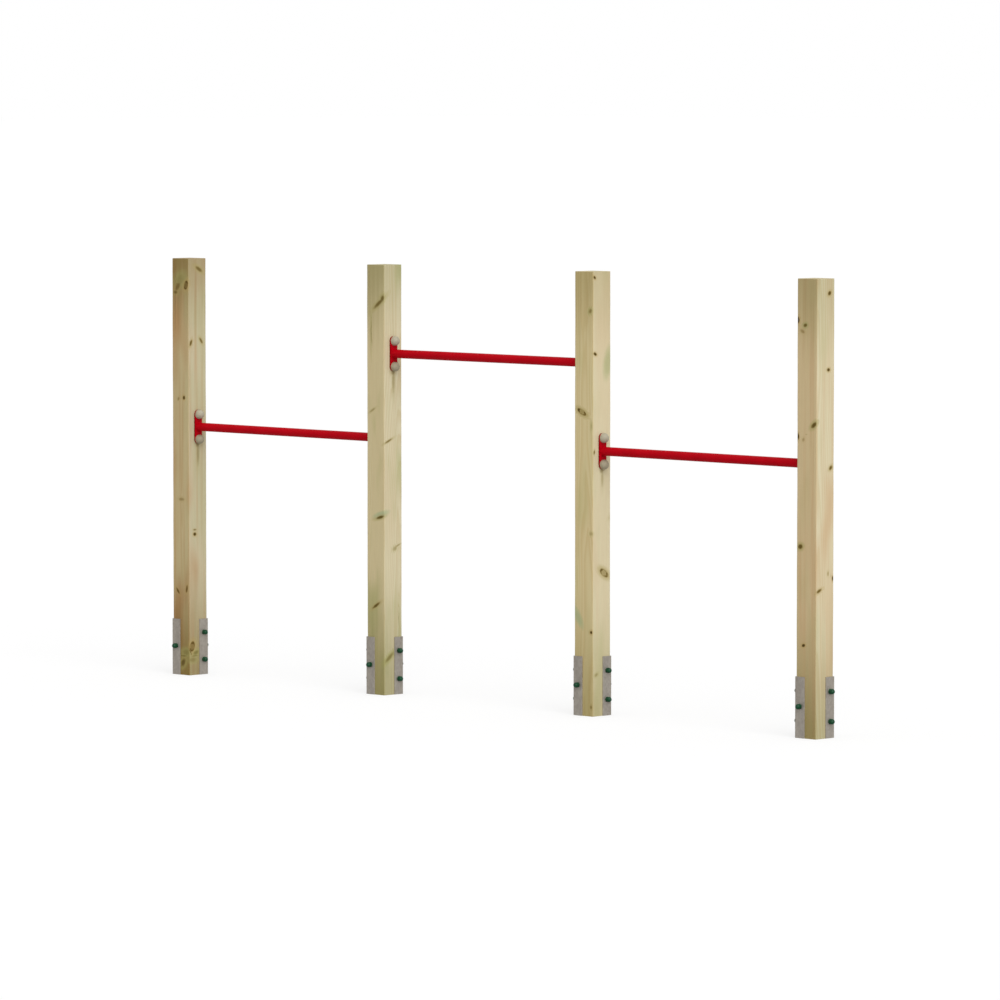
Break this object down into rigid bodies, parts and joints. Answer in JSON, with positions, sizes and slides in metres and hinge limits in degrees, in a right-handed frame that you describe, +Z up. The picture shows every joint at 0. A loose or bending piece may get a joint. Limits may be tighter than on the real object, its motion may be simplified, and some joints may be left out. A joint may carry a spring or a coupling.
{
  "type": "triple turning bar set",
  "caption": "Row of square timber posts carrying round red steel turning bars at alternating heights, with end plates, capped screws and galvanised angle irons at the feet.",
  "frame": {"origin": "on the ground, midway between the first and last post, in the middle of the posts' thickness", "axes": "+X along the row from the first post to the last, +Y across the row, +Z up"},
  "size_m": [3.516, 0.141, 1.675],
  "materials": {
    "treated_pine": "planed pressure-treated pine with a faint green cast, open grain, knots and drying checks",
    "red_powder_coat": "satin red powder coat over steel",
    "galvanised_steel": "hot-dip galvanised, mottled and dull",
    "zinc_plated_steel": "bright zinc-plated screws and washers, hidden under the caps",
    "grey_plastic": "moulded pebble-grey plastic, satin",
    "green_plastic": "moulded dark green plastic, glossy"
  },
  "bodies": {
    "root": {"bar_1_left_cap_bases": "grey_plastic", "bar_1_left_cap_domes": "grey_plastic", "bar_1_left_plate": "red_powder_coat", "bar_1_left_screws": "zinc_plated_steel", "bar_1_right_cap_bases": "grey_plastic", "bar_1_right_cap_domes": "grey_plastic", "bar_1_right_plate": "red_powder_coat", "bar_1_right_screws": "zinc_plated_steel", "bar_1_tube": "red_powder_coat", "bar_1_washers": "zinc_plated_steel", "bar_1_welds": "red_powder_coat", "bar_2_left_cap_bases": "grey_plastic", "bar_2_left_cap_domes": "grey_plastic", "bar_2_left_plate": "red_powder_coat", "bar_2_left_screws": "zinc_plated_steel", "bar_2_right_cap_bases": "grey_plastic", "bar_2_right_cap_domes": "grey_plastic", "bar_2_right_plate": "red_powder_coat", "bar_2_right_screws": "zinc_plated_steel", "bar_2_tube": "red_powder_coat", "bar_2_washers": "zinc_plated_steel", "bar_2_welds": "red_powder_coat", "bar_3_left_cap_bases": "grey_plastic", "bar_3_left_cap_domes": "grey_plastic", "bar_3_left_plate": "red_powder_coat", "bar_3_left_screws": "zinc_plated_steel", "bar_3_right_cap_bases": "grey_plastic", "bar_3_right_cap_domes": "grey_plastic", "bar_3_right_plate": "red_powder_coat", "bar_3_right_screws": "zinc_plated_steel", "bar_3_tube": "red_powder_coat", "bar_3_washers": "zinc_plated_steel", "bar_3_welds": "red_powder_coat", "post_1": "treated_pine", "post_1_back_iron": "galvanised_steel", "post_1_front_iron": "galvanised_steel", "post_1_green_caps": "green_plastic", "post_1_iron_screws": "zinc_plated_steel", "post_1_iron_washers": "zinc_plated_steel", "post_2": "treated_pine", "post_2_back_iron": "galvanised_steel", "post_2_front_iron": "galvanised_steel", "post_2_green_caps": "green_plastic", "post_2_iron_screws": "zinc_plated_steel", "post_2_iron_washers": "zinc_plated_steel", "post_3": "treated_pine", "post_3_back_iron": "galvanised_steel", "post_3_front_iron": "galvanised_steel", "post_3_green_caps": "green_plastic", "post_3_iron_screws": "zinc_plated_steel", "post_3_iron_washers": "zinc_plated_steel", "post_4": "treated_pine", "post_4_back_iron": "galvanised_steel", "post_4_front_iron": "galvanised_steel", "post_4_green_caps": "green_plastic", "post_4_iron_screws": "zinc_plated_steel", "post_4_iron_washers": "zinc_plated_steel"}
  },
  "joints": []
}
